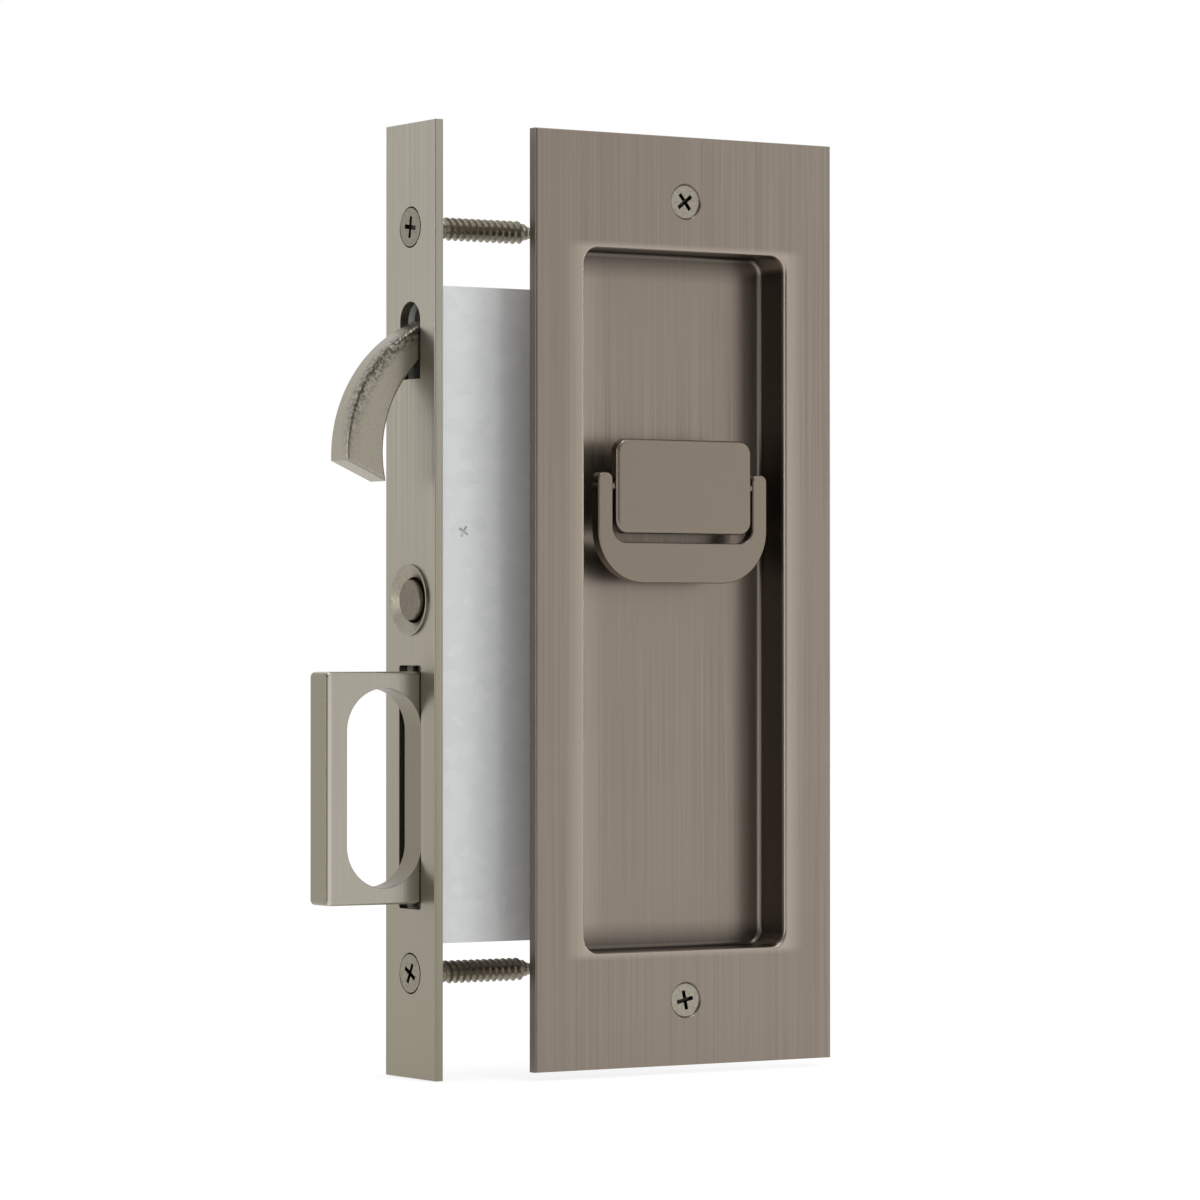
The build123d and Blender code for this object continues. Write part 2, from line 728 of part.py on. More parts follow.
# Flush pull: plate and cup in one piece
with BuildPart() as flush_pull:
    with BuildSketch(side_plane(plate_back)):
        with Locations((HUB_X, 0)):
            Rectangle(PLATE_W, PLATE_H)
    extrude(amount=PLATE_T)
    with BuildSketch(side_plane(floor_back)):
        with Locations((HUB_X, 0)):
            RectangleRounded(CUP_W + 2 * CUP_WALL, CUP_H + 2 * CUP_WALL, CUP_CORNER_R + CUP_WALL)
    extrude(amount=floor_back - plate_back)
    with BuildSketch(side_plane(floor_front)):
        with Locations((HUB_X, 0)):
            RectangleRounded(CUP_W, CUP_H, CUP_CORNER_R)
    extrude(amount=CUP_DEPTH, mode=Mode.SUBTRACT)
    cup_floor = flush_pull.faces().filter_by_position(Axis.Y, floor_front, floor_front)[0]
    fillet(cup_floor.edges(), CUP_FLOOR_R)
    front = flush_pull.faces().sort_by(Axis.Y)[0]
    fillet(front.inner_wires().edges(), CUP_LIP_R)
    front = flush_pull.faces().sort_by(Axis.Y)[0]
    fillet(front.outer_wire().edges(), PLATE_EDGE_R)
    with BuildSketch(side_plane(floor_back)):
        with Locations(hub_axis):
            Circle(KNOB_STEM_R + RUN_CLEAR)
    extrude(amount=CUP_FLOOR, mode=Mode.SUBTRACT)
    with Locations(*[near_face(HUB_X, plate_front, s * PULL_SCREW_SPACING / 2) for s in (1, -1)]):
        CounterSinkHole(
            PULL_SHANK_R + SEAT_CLEAR,
            pull_sink_r + SEAT_CLEAR,
            counter_sink_angle=SINK_DEG,
        )

pull_screw = flat_head_screw(
    PULL_HEAD_R, PULL_SHANK_R, PULL_SCREW_L, PULL_CROSS_L, PULL_CROSS_W, POINT_L
)
with BuildPart() as plate_screws:
    for side, turn in zip((1, -1), PULL_CROSS_DEG):
        with Locations(near_face(HUB_X, pull_head_y, side * PULL_SCREW_SPACING / 2, turn)):
            add(pull_screw)

# Turn knob: block undercut for the fingers, boss and stem through the cup floor, square hole for the spindle
with BuildPart() as turn_knob:
    with BuildSketch(side_plane(knob_back)):
        with Locations(hub_axis):
            RectangleRounded(KNOB_W, KNOB_H, KNOB_CORNER_R)
    extrude(amount=KNOB_T)
    fillet(turn_knob.faces().sort_by(Axis.Y)[0].edges(), KNOB_EDGE_R)
    chamfer(turn_knob.faces().sort_by(Axis.Y)[-1].edges(), KNOB_UNDERCUT)
    with BuildSketch(side_plane(boss_back)):
        with Locations(hub_axis):
            Circle(KNOB_BOSS_R)
    extrude(amount=boss_back - knob_back)
    with BuildSketch(side_plane(stem_back)):
        with Locations(hub_axis):
            Circle(KNOB_STEM_R)
    extrude(amount=stem_back - boss_back)
    with BuildSketch(side_plane(ring_back)):
        with Locations(hub_axis):
            Circle(KNOB_STEM_R)
            Circle(RING_GROOVE_R, mode=Mode.SUBTRACT)
    extrude(amount=RING_T, mode=Mode.SUBTRACT)
    with BuildSketch(side_plane(stem_back)):
        with Locations(hub_axis):
            Rectangle(SPINDLE_W + 2 * SEAT_CLEAR, SPINDLE_W + 2 * SEAT_CLEAR)
    extrude(amount=stem_back - square_front, mode=Mode.SUBTRACT)
    with BuildSketch(edge_plane(HUB_X)):
        with Locations((bail_pin_y, HUB_Z)):
            Circle(BAIL_PIN_R + SEAT_CLEAR)
    extrude(amount=KNOB_W, both=True, mode=Mode.SUBTRACT)

with BuildPart() as knob_ring:
    with BuildSketch(side_plane(ring_back - SEAT_CLEAR)):
        with Locations(hub_axis):
            Circle(RING_R)
            Circle(RING_GROOVE_R + SEAT_CLEAR, mode=Mode.SUBTRACT)
            Rectangle(RING_MOUTH, RING_R, align=(Align.CENTER, Align.MAX), mode=Mode.SUBTRACT)
    extrude(amount=RING_T - 2 * SEAT_CLEAR)

# Bail: U-shaped plate hinged on the knob's sides
with BuildPart() as bail:
    with BuildSketch(side_plane(bail_back)):
        with Locations((HUB_X, bail_bottom)):
            Rectangle(BAIL_W, bail_top - bail_bottom, align=(Align.CENTER, Align.MIN))
        fillet(vertices().group_by(Axis.Y)[0], BAIL_CORNER_R)
        with Locations((HUB_X, bail_inner_bottom)):
            RectangleRounded(
                KNOB_W + 2 * BAIL_SIDE_GAP,
                2 * KNOB_H,
                KNOB_CORNER_R + BAIL_SIDE_GAP,
                align=(Align.CENTER, Align.MIN),
                mode=Mode.SUBTRACT,
            )
        fillet(vertices().group_by(Axis.Y)[-1], BAIL_ARM_END_R)
    extrude(amount=BAIL_T)
    fillet(bail.faces().sort_by(Axis.Y)[0].edges(), BAIL_EDGE_R)
    with BuildSketch(edge_plane(HUB_X)):
        with Locations((bail_pin_y, HUB_Z)):
            Circle(BAIL_PIN_R + RUN_CLEAR)
    extrude(amount=BAIL_W, both=True, mode=Mode.SUBTRACT)

with BuildPart() as bail_pin:
    with BuildSketch(edge_plane(HUB_X)):
        with Locations((bail_pin_y, HUB_Z)):
            Circle(BAIL_PIN_R)
    extrude(amount=BAIL_W / 2 - BAIL_PIN_INSET, both=True)

pieces = {
    "faceplate": faceplate,
    "faceplate_screws": faceplate_screws,
    "case": case,
    "case_cover": case_cover,
    "cover_posts": cover_posts,
    "cover_screws": cover_screws,
    "hook_bolt": hook_bolt,
    "hook_pivot_pin": hook_pivot_pin,
    "hub_follower": hub_follower,
    "spindle": spindle,
    "link": link,
    "hub_link_pin": hub_link_pin,
    "hook_link_pin": hook_link_pin,
    "edge_pull": edge_pull,
    "upper_guide": upper_guide,
    "lower_guide": lower_guide,
    "spring_anchor": spring_anchor,
    "pull_spring": pull_spring,
    "button_bushing": button_bushing,
    "button": button,
    "button_spring": button_spring,
    "button_clip": button_clip,
    "catch_lever": catch_lever,
    "catch_pin": catch_pin,
    "flush_pull": flush_pull,
    "plate_screws": plate_screws,
    "turn_knob": turn_knob,
    "knob_ring": knob_ring,
    "bail": bail,
    "bail_pin": bail_pin,
}
os.makedirs("parts", exist_ok=True)
for name, piece in pieces.items():
    piece.part.label = name
    export_step(piece.part, f"parts/{name}.step")
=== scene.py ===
import json
from math import cos, pi, radians, sin

import bpy
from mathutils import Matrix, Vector


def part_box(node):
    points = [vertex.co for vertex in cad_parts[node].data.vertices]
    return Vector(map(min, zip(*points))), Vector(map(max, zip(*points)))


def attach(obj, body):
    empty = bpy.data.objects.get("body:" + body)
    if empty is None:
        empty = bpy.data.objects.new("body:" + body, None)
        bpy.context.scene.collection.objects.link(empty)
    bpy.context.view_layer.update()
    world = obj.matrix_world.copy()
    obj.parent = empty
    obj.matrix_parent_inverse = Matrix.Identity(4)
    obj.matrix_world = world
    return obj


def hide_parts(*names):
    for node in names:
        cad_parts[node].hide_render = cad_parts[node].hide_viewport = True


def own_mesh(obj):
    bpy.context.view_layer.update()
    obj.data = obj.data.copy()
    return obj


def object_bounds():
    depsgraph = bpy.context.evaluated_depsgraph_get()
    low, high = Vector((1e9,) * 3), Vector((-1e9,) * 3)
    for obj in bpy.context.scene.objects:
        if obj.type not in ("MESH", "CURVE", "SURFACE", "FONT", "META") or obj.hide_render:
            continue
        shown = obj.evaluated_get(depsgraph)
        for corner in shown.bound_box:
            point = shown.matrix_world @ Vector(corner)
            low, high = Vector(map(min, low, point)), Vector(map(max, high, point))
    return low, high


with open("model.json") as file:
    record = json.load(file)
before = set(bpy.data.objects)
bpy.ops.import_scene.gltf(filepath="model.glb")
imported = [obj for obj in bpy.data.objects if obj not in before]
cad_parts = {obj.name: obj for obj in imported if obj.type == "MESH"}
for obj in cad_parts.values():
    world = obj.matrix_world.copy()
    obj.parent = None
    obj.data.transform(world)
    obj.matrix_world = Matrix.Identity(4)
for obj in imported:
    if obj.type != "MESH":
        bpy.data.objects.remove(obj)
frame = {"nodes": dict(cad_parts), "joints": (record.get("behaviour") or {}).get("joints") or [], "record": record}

CAD_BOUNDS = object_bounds()
MM = 0.001

# Colours, linear
NICKEL = (0.395, 0.37, 0.312)
NICKEL_DARK = (0.322, 0.298, 0.243)
NICKEL_BRIGHT = (0.43, 0.4, 0.34)
NICKEL_HOOK = (0.37, 0.342, 0.28)
NICKEL_HOOK_DARK = (0.32, 0.292, 0.235)
# Nickel darkened as painted shade: the ring round the button, and the edge pull's outer end.
NICKEL_SHADE = (0.262, 0.235, 0.178)
# Painted shade inside the edge pull's finger hole.
NICKEL_HOLE_SHADE = (0.205, 0.18, 0.135)
# Darker, warmer painted shade and reflection toward the faceplate's foot.
NICKEL_FOOT_SHADE = (0.27, 0.245, 0.185)
# Painted highlight along the edge pull's ridge by its outer end.
NICKEL_RIDGE_HIGHLIGHT = (0.56, 0.53, 0.46)
NICKEL_BUTTON = (0.19, 0.165, 0.128)
NICKEL_BUTTON_DARK = (0.14, 0.12, 0.092)
NICKEL_WORN = (0.07, 0.06, 0.05)
PEWTER = (0.275, 0.234, 0.196)
PEWTER_DARK = (0.235, 0.198, 0.163)
PEWTER_WARM = (0.3, 0.24, 0.188)
# Painted shade on the flush pull's left side face.
PEWTER_SIDE_SHADE = (0.17, 0.146, 0.124)
# Painted shade on the cup's walls and toward its ends.
PEWTER_RECESS_SHADE = (0.1, 0.085, 0.071)
# Painted light on the cup's lip and on the floor toward its sides.
PEWTER_PAINTED_LIGHT = (0.39, 0.332, 0.278)
SMOOTH_PEWTER = (0.242, 0.204, 0.164)
SMOOTH_PEWTER_DARK = (0.222, 0.187, 0.15)
PULL_SCREW = (0.36, 0.335, 0.275)
PULL_SCREW_DARK = (0.25, 0.23, 0.185)
EDGE_SCREW = (0.29, 0.262, 0.207)
EDGE_SCREW_DARK = (0.17, 0.152, 0.118)
# Painted shade in the screws' cross recesses, and painted shade and dirt in the gaps round their heads.
CREVICE_SHADE = (0.03, 0.026, 0.022)
ZINC = (0.93, 0.94, 0.94)
ZINC_DARK = (0.88, 0.9, 0.91)
ZINC_SPANGLE = (0.7, 0.73, 0.75)
BRASS = (0.58, 0.41, 0.17)
BRASS_DARK = (0.46, 0.31, 0.11)
WIRE = (0.46, 0.47, 0.48)
WIRE_DARK = (0.3, 0.31, 0.32)
WHITE = (1.0, 1.0, 1.0)

# Marks of the finishes, with their size along X, Y and Z
BRUSH_W = 0.42 * MM
BRUSH_L = 70 * MM
STREAK_W = 2.5 * MM
STREAK_L = 160 * MM
UPRIGHT_BRUSH = (BRUSH_W, BRUSH_W, BRUSH_L)
LEVEL_BRUSH = (BRUSH_L, BRUSH_W, BRUSH_W)
FINE_GRAIN = (BRUSH_W,) * 3
SATIN_GRAIN = (0.15 * MM,) * 3
PATCHES = (0.7 * MM,) * 3
CLOUDS = (28 * MM,) * 3
STREAKS = (STREAK_W, STREAK_W, STREAK_L)
SPANGLE = 3 * MM

# Noise of the marks: its detail, the values that it fades between, and how much of the mark shows
FINE_DETAIL = 4.0
SOFT_DETAIL = 2.0
BRUSH_RANGE = (0.3, 0.7)
CLOUD_RANGE = (0.35, 0.65)
CLOUD_SHARE = 0.35
STREAK_RANGE = (0.4, 0.7)
STREAK_SHARE = 0.16
SPECK_RANGE = (0.4, 0.6)
SPANGLE_SHARE = 0.25

# Gloss and relief
SATIN_ROUGHNESS = 0.34
DULL_ROUGHNESS = 0.36
BRIGHT_ROUGHNESS = 0.32
WIRE_ROUGHNESS = 0.28
ZINC_ROUGHNESS = 0.45
ROUGHNESS_SWING = 0.06
ZINC_METALLIC = 0.25
RELIEF_HEIGHT = 0.01 * MM
BRUSH_RELIEF = 0.15
PATCH_RELIEF = 0.1
SMOOTH_RELIEF = 0.03
ZINC_RELIEF = 0.05
BRASS_RELIEF = 0.2

# Edge pull: its outer end, the painted highlight along the ridge beside that end, and the finger hole
END_ROUND = 0.7 * MM
RIDGE_IN = 0.9 * MM
RIDGE_HALF_W = 0.8 * MM
RIDGE_CORE = 0.2 * MM
HOLE_W = 18.1 * MM
HOLE_H = 42.2 * MM
HOLE_MARGIN = 5.2 * MM
HOLE_RIM = 0.15 * MM

# Flush pull: its painted shade on the left side, its cup, and how far the painted shade in the cup and the painted
# light by its lip and sides reach
SIDE_ROUND = 0.45 * MM
SIDE_DARK = 0.15 * MM
CUP_W = 51.6 * MM
CUP_H = 150.4 * MM
CUP_DEPTH = 9.5 * MM
CUP_LIP = 0.8 * MM
CUP_EDGE_FADE = 0.6 * MM
END_SHADE_REACH = 6 * MM
LIT_REACH = 11 * MM
LIP_SIDE_REACH = 5 * MM
LIP_END_REACH = 1.6 * MM

# Hook's worn ridge: how far the specks reach, and how dark they get
WEAR_DOWN = 33 * MM
WEAR_TOP = 11 * MM
WEAR_IN = 3.5 * MM
WEAR_ACROSS = 4 * MM
WEAR_FULL = 0.5
WEAR_MOST = 0.8

# Wood screws: radius of the heads, reach and depth of their cross recesses, and the gap round the heads, painted
# dark with shade and dirt
EDGE_HEAD_R = 4.1 * MM
PULL_HEAD_R = 3.5 * MM
EDGE_CROSS_R = 2.4 * MM
PULL_CROSS_R = 2.2 * MM
CROSS_TOP = 0.08 * MM
CROSS_DARK = 0.3 * MM
CROSS_DEPTH = 1.0 * MM
GAP_W = 0.2 * MM
GAP_SOFT = 0.12 * MM
GAP_DEPTH = 0.5 * MM

# Wood screws' threads
THREAD_PITCH = 1.6 * MM
THREAD_HEIGHT = 0.45 * MM
THREAD_ROOT_W = 0.9 * MM
THREAD_SUNK = 0.08 * MM
THREAD_START = 7 * MM
THREAD_TAPER = 5 * MM
THREAD_STEPS = 24

# Coil springs: wire radius and turns of each, and how finely they are drawn
PULL_WIRE_R = 0.4 * MM
PULL_COILS = 9
BUTTON_WIRE_R = 0.3 * MM
BUTTON_COILS = 4
COIL_STEPS = 28
WIRE_SIDES = 10

# Camera, fitted to the photograph's corners
TURN_DEG = 32.58
RISE_DEG = -0.57
DISTANCE = 1.0735
AIM_RIGHT = 0.0404
LENS = 151.4
SENSOR = 36.0
CLIP_START = 0.01

# Light
WORLD_LEVEL = 1.0
DARK_SIDE = (-0.54, -0.84, 0.0)  # toward the viewer
DARK_SIDE_RANGE = (0.2, 0.9)
DARK_SIDE_LEVEL = 0.12
FLOOR_GLOW = 0.78
FLOOR_DIFFUSE = (0.25, 0.25, 0.25)
FLOOR_SIZE = 6.0
FLOOR_GAP = 0.2 * MM
KEY_PLACE = (0.75, -0.8, 0.12)
KEY_SIZE = (0.5, 0.9)
KEY_POWER = 0.5
LEFT_STRIP_PLACE = (-1.0, -0.17, 0.0)
RIGHT_STRIP_PLACE = (1.0, 0.0, 0.15)
TOP_STRIP_PLACE = (0.1, -0.55, 0.9)
STRIP_SIZE = (0.14, 0.9)
STRIP_POWER = 2.2
LIGHT_AIM = (0.045, -0.01, 0.0)


def joint_place(name):
    """Point that a hinge turns about, in metres."""
    return Vector(next(j["pos_m"] for j in frame["joints"] if j["name"] == name))


def mount_named(name):
    """A mount of the record."""
    return next(m for m in frame["record"]["mounts"] if m["name"] == name)


def screw_axes(mount):
    """Names of the axis that a mount's screws lie along, and of the level axis across it."""
    return ("X", "Y") if mount["axis"][0] else ("Y", "X")


def feed(tree, value, socket):
    """Gives a socket a number or a colour, or links it to another node's socket."""
    if isinstance(value, bpy.types.NodeSocket):
        tree.links.new(value, socket)
    elif isinstance(value, tuple):
        socket.default_value = (*value, 1.0)
    else:
        socket.default_value = value


def place_on_piece(tree):
    """Place on the piece, in metres of the part's own frame."""
    return tree.nodes.new("ShaderNodeTexCoord").outputs["Object"]


def along(tree, axis):
    """Place on the piece along one axis."""
    node = tree.nodes.new("ShaderNodeSeparateXYZ")
    tree.links.new(place_on_piece(tree), node.inputs["Vector"])
    return node.outputs[axis]


def grain(tree, size, detail):
    """Noise whose marks have the given size along X, Y and Z."""
    stretch = tree.nodes.new("ShaderNodeMapping")
    stretch.inputs["Scale"].default_value = [1 / s for s in size]
    noise = tree.nodes.new("ShaderNodeTexNoise")
    noise.inputs["Scale"].default_value = 1.0
    noise.inputs["Detail"].default_value = detail
    tree.links.new(place_on_piece(tree), stretch.inputs["Vector"])
    tree.links.new(stretch.outputs["Vector"], noise.inputs["Vector"])
    return noise.outputs["Fac"]


def remap(tree, value, low, high, to_low, to_high):
    """Value taken from the range low to high, to the range to_low to to_high."""
    node = tree.nodes.new("ShaderNodeMapRange")
    tree.links.new(value, node.inputs["Value"])
    ends = {"From Min": low, "From Max": high, "To Min": to_low, "To Max": to_high}
    for name, end in ends.items():
        feed(tree, end, node.inputs[name])
    return node.outputs["Result"]


def fade(tree, value, none_at, full_at, most=1.0):
    """Share that grows from 0, where the value is none_at, to most, where it is full_at."""
    return remap(tree, value, none_at, full_at, 0.0, most)


def blend_colours(tree, share, first, second):
    """Colour that goes from first to second by share. Each is a colour or a socket."""
    node = tree.nodes.new("ShaderNodeMix")
    node.data_type = "RGBA"
    tree.links.new(share, node.inputs["Factor"])
    for name, colour in (("A", first), ("B", second)):
        feed(tree, colour, next(s for s in node.inputs if s.name == name and s.type == "RGBA"))
    return next(s for s in node.outputs if s.type == "RGBA")


def math_node(tree, operation, first, second=0.0):
    """One step of arithmetic on a value, with a number or another value as its second term."""
    node = tree.nodes.new("ShaderNodeMath")
    node.operation = operation
    feed(tree, first, node.inputs[0])
    feed(tree, second, node.inputs[1])
    return node.outputs["Value"]


def multiply(tree, *shares):
    """Product of several shares."""
    product = shares[0]
    for share in shares[1:]:
        product = math_node(tree, "MULTIPLY", product, share)
    return product


def away_from(tree, axis, place):
    """How far the piece's surface is from a place along one axis, to either side."""
    return math_node(tree, "ABSOLUTE", math_node(tree, "SUBTRACT", along(tree, axis), place))


def straight_distance(tree, across, up):
    """Length of the straight line that leads so far across and so far up."""
    total = math_node(tree, "ADD", multiply(tree, across, across), multiply(tree, up, up))
    return math_node(tree, "SQRT", total)


def distance_from_screws(tree, mount):
    """How far a place is from the axis of the nearer of a mount's two screws."""
    level_axis = screw_axes(mount)[1]
    middle = dict(zip("XYZ", mount["pos_m"]))
    across = away_from(tree, level_axis, middle[level_axis])
    up = away_from(tree, "Z", middle["Z"])
    past_screw = math_node(tree, "SUBTRACT", up, mount["dims"]["pcd_mm"] / 2 * MM)
    return straight_distance(tree, across, past_screw)


def screw_gaps(tree, mount_name, head_r, face):
    """Share of the painted shade and dirt in the gap round the heads of a mount's screws, in the face that they
    lie flush with.
    """
    mount = mount_named(mount_name)
    distance = distance_from_screws(tree, mount)
    inner = fade(tree, distance, head_r - GAP_SOFT, head_r)
    outer = fade(tree, distance, head_r + GAP_W + GAP_SOFT, head_r + GAP_W)
    at_face = fade(tree, along(tree, screw_axes(mount)[0]), face + GAP_DEPTH, face + GAP_DEPTH / 2)
    return multiply(tree, inner, outer, at_face)


def emboss(tree, shader, height, strength):
    """Fine relief of the finish."""
    node = tree.nodes.new("ShaderNodeBump")
    node.inputs["Strength"].default_value = strength
    node.inputs["Distance"].default_value = RELIEF_HEIGHT
    tree.links.new(height, node.inputs["Height"])
    tree.links.new(node.outputs["Normal"], shader.inputs["Normal"])


def brushed_metal(name, light, dark, marks, roughness, relief):
    """Metal with marks of one size and faint cloudy patches. Gives the material and its parts."""
    material = bpy.data.materials.new(name)
    material.use_nodes = True
    tree = material.node_tree
    shader = tree.nodes["Principled BSDF"]
    shader.inputs["Metallic"].default_value = 1.0
    shader.inputs["Roughness"].default_value = roughness
    brush = fade(tree, grain(tree, marks, FINE_DETAIL), *BRUSH_RANGE)
    cloud = fade(tree, grain(tree, CLOUDS, SOFT_DETAIL), *CLOUD_RANGE, CLOUD_SHARE)
    colour = blend_colours(tree, cloud, blend_colours(tree, brush, dark, light), light)
    gloss = remap(tree, brush, 0.0, 1.0, roughness + ROUGHNESS_SWING, roughness - ROUGHNESS_SWING)
    tree.links.new(colour, shader.inputs["Base Color"])
    tree.links.new(gloss, shader.inputs["Roughness"])
    emboss(tree, shader, brush, relief)
    return material, tree, shader, colour


def satin_nickel():
    """Brushed along the height, with painted shade and a warmer painted reflection toward the faceplate's foot,
    and painted shade and dirt round the screws.
    """
    material, tree, shader, colour = brushed_metal(
        "satin_nickel", NICKEL, NICKEL_DARK, UPRIGHT_BRUSH, SATIN_ROUGHNESS, BRUSH_RELIEF
    )
    low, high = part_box("faceplate")
    # Painted shade, darker and warmer, growing toward the faceplate's foot.
    foot = fade(tree, along(tree, "Z"), high.z / 2, low.z)
    foot_shaded = blend_colours(tree, foot, colour, NICKEL_FOOT_SHADE)
    # Painted shade and dirt in the gap round the screw heads.
    gap = screw_gaps(tree, "edge_screws", EDGE_HEAD_R, low.x)
    tree.links.new(blend_colours(tree, gap, foot_shaded, CREVICE_SHADE), shader.inputs["Base Color"])
    return material


def ring_nickel():
    """Nickel of the ring round the button, darkened all over as painted shade."""
    return brushed_metal(
        "ring_nickel", NICKEL_DARK, NICKEL_SHADE, PATCHES, DULL_ROUGHNESS, PATCH_RELIEF
    )[0]


def distance_from_hole_spine(tree, low, high):
    """How far a place on the edge pull is from the middle line of its finger hole."""
    across = away_from(tree, "X", low.x + HOLE_MARGIN + HOLE_W / 2)
    up = away_from(tree, "Z", (low.z + high.z) / 2)
    past_spine = math_node(tree, "SUBTRACT", up, HOLE_H / 2 - HOLE_W / 2)
    return straight_distance(tree, across, math_node(tree, "MAXIMUM", past_spine, 0.0))


def pull_nickel():
    """Edge pull's nickel, with painted shade on the outer end and inside the finger hole, and a painted highlight
    along the ridge by that end.
    """
    material, tree, shader, colour = brushed_metal(
        "pull_nickel", NICKEL_BRIGHT, NICKEL, UPRIGHT_BRUSH, SATIN_ROUGHNESS, BRUSH_RELIEF
    )
    low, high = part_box("edge_pull")
    # Painted highlight along the rounded ridge by the outer end.
    ridge = fade(tree, away_from(tree, "X", low.x + RIDGE_IN), RIDGE_HALF_W, RIDGE_CORE)
    highlighted = blend_colours(tree, ridge, colour, NICKEL_RIDGE_HIGHLIGHT)
    # Painted shade on the outer end face.
    end = fade(tree, along(tree, "X"), low.x + END_ROUND, low.x + END_ROUND / 2)
    shaded = blend_colours(tree, end, highlighted, NICKEL_SHADE)
    hole_r = HOLE_W / 2
    # Painted shade on the finger hole's inner wall.
    inside = fade(tree, distance_from_hole_spine(tree, low, high), hole_r + HOLE_RIM, hole_r)
    tree.links.new(blend_colours(tree, inside, shaded, NICKEL_HOLE_SHADE), shader.inputs["Base Color"])
    return material


def button_nickel():
    """Darker nickel of the button."""
    return brushed_metal(
        "button_nickel", NICKEL_BUTTON, NICKEL_BUTTON_DARK, PATCHES, SATIN_ROUGHNESS, PATCH_RELIEF
    )[0]


def hook_nickel():
    """Satin nickel with dark worn specks along the near ridge of the hook."""
    material, tree, shader, colour = brushed_metal(
        "hook_nickel", NICKEL_HOOK, NICKEL_HOOK_DARK, FINE_GRAIN, DULL_ROUGHNESS, BRUSH_RELIEF
    )
    low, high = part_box("hook_bolt")
    pivot = joint_place("hook_swing")
    from_pivot = straight_distance(tree, away_from(tree, "X", pivot.x), away_from(tree, "Z", pivot.z))
    ridge_r = high.z - pivot.z
    crown = fade(tree, along(tree, "Z"), high.z - WEAR_DOWN, high.z - WEAR_TOP)
    rim = fade(tree, from_pivot, ridge_r - WEAR_IN, ridge_r)
    near = fade(tree, along(tree, "Y"), low.y + WEAR_ACROSS, low.y)
    specks = fade(tree, grain(tree, PATCHES, FINE_DETAIL), *SPECK_RANGE)
    worn = fade(tree, multiply(tree, crown, rim, near, specks), 0.0, WEAR_FULL, WEAR_MOST)
    tree.links.new(blend_colours(tree, worn, colour, NICKEL_WORN), shader.inputs["Base Color"])
    return material


def cup_shares(tree, low, high):
    """Shares of the painted light by the cup's lip and sides, and of the painted shade on its walls and ends."""
    past_side = math_node(tree, "SUBTRACT", away_from(tree, "X", (low.x + high.x) / 2), CUP_W / 2)
    past_end = math_node(tree, "SUBTRACT", away_from(tree, "Z", (low.z + high.z) / 2), CUP_H / 2)
    depth = math_node(tree, "SUBTRACT", along(tree, "Y"), low.y)
    below_lip = fade(tree, depth, CUP_LIP, CUP_LIP + CUP_EDGE_FADE)
    above_floor = fade(tree, depth, CUP_DEPTH + CUP_EDGE_FADE, CUP_DEPTH + CUP_EDGE_FADE / 2)
    outward = math_node(tree, "MAXIMUM", past_side, past_end)
    within_walls = fade(tree, outward, CUP_EDGE_FADE, CUP_EDGE_FADE / 2)
    in_cup = multiply(tree, within_walls, below_lip, above_floor)
    # Painted shade on the cup's side walls and toward its ends.
    wall = fade(tree, past_side, -CUP_EDGE_FADE, 0.0)
    end = fade(tree, past_end, -END_SHADE_REACH, 0.0)
    cup_shade = multiply(tree, math_node(tree, "MAXIMUM", wall, end), in_cup)
    # Painted light on the floor toward the cup's sides, and a painted highlight on its lip.
    by_side = multiply(tree, fade(tree, past_side, -LIT_REACH, 0.0), in_cup)
    beside = fade(tree, past_side, LIP_SIDE_REACH, 0.0)
    above = fade(tree, past_end, LIP_END_REACH, 0.0)
    at_front = fade(tree, depth, CUP_LIP + CUP_EDGE_FADE, CUP_LIP)
    by_lip = multiply(tree, beside, above, at_front)
    return math_node(tree, "MAXIMUM", by_side, by_lip), cup_shade


def plate_pewter():
    """Brushed along the height with warm streaks, with painted shade on its left side and in the cup, painted
    light by the cup's lip and sides, and painted shade and dirt round the screws.
    """
    material, tree, shader, colour = brushed_metal(
        "plate_pewter", PEWTER, PEWTER_DARK, UPRIGHT_BRUSH, SATIN_ROUGHNESS, BRUSH_RELIEF
    )
    low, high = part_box("flush_pull")
    # Painted shade on the left side face.
    side = fade(tree, along(tree, "X"), low.x + SIDE_ROUND, low.x + SIDE_DARK)
    side_shaded = blend_colours(tree, side, colour, PEWTER_SIDE_SHADE)
    streaks = fade(tree, grain(tree, STREAKS, SOFT_DETAIL), *STREAK_RANGE, STREAK_SHARE)
    streaked = blend_colours(tree, streaks, side_shaded, PEWTER_WARM)
    # Painted light by the cup's lip and sides, and painted shade on its walls and ends.
    painted_light, cup_shade = cup_shares(tree, low, high)
    lit_colour = blend_colours(tree, painted_light, streaked, PEWTER_PAINTED_LIGHT)
    # Painted shade on the cup's walls and ends.
    shaded = blend_colours(tree, cup_shade, lit_colour, PEWTER_RECESS_SHADE)
    # Painted shade and dirt in the gap round the screw heads.
    gap = screw_gaps(tree, "pull_screws", PULL_HEAD_R, low.y)
    tree.links.new(blend_colours(tree, gap, shaded, CREVICE_SHADE), shader.inputs["Base Color"])
    return material


def smooth_pewter():
    """Smooth satin finish of the knob and bail."""
    return brushed_metal(
        "smooth_pewter", SMOOTH_PEWTER, SMOOTH_PEWTER_DARK, SATIN_GRAIN, SATIN_ROUGHNESS, SMOOTH_RELIEF
    )[0]


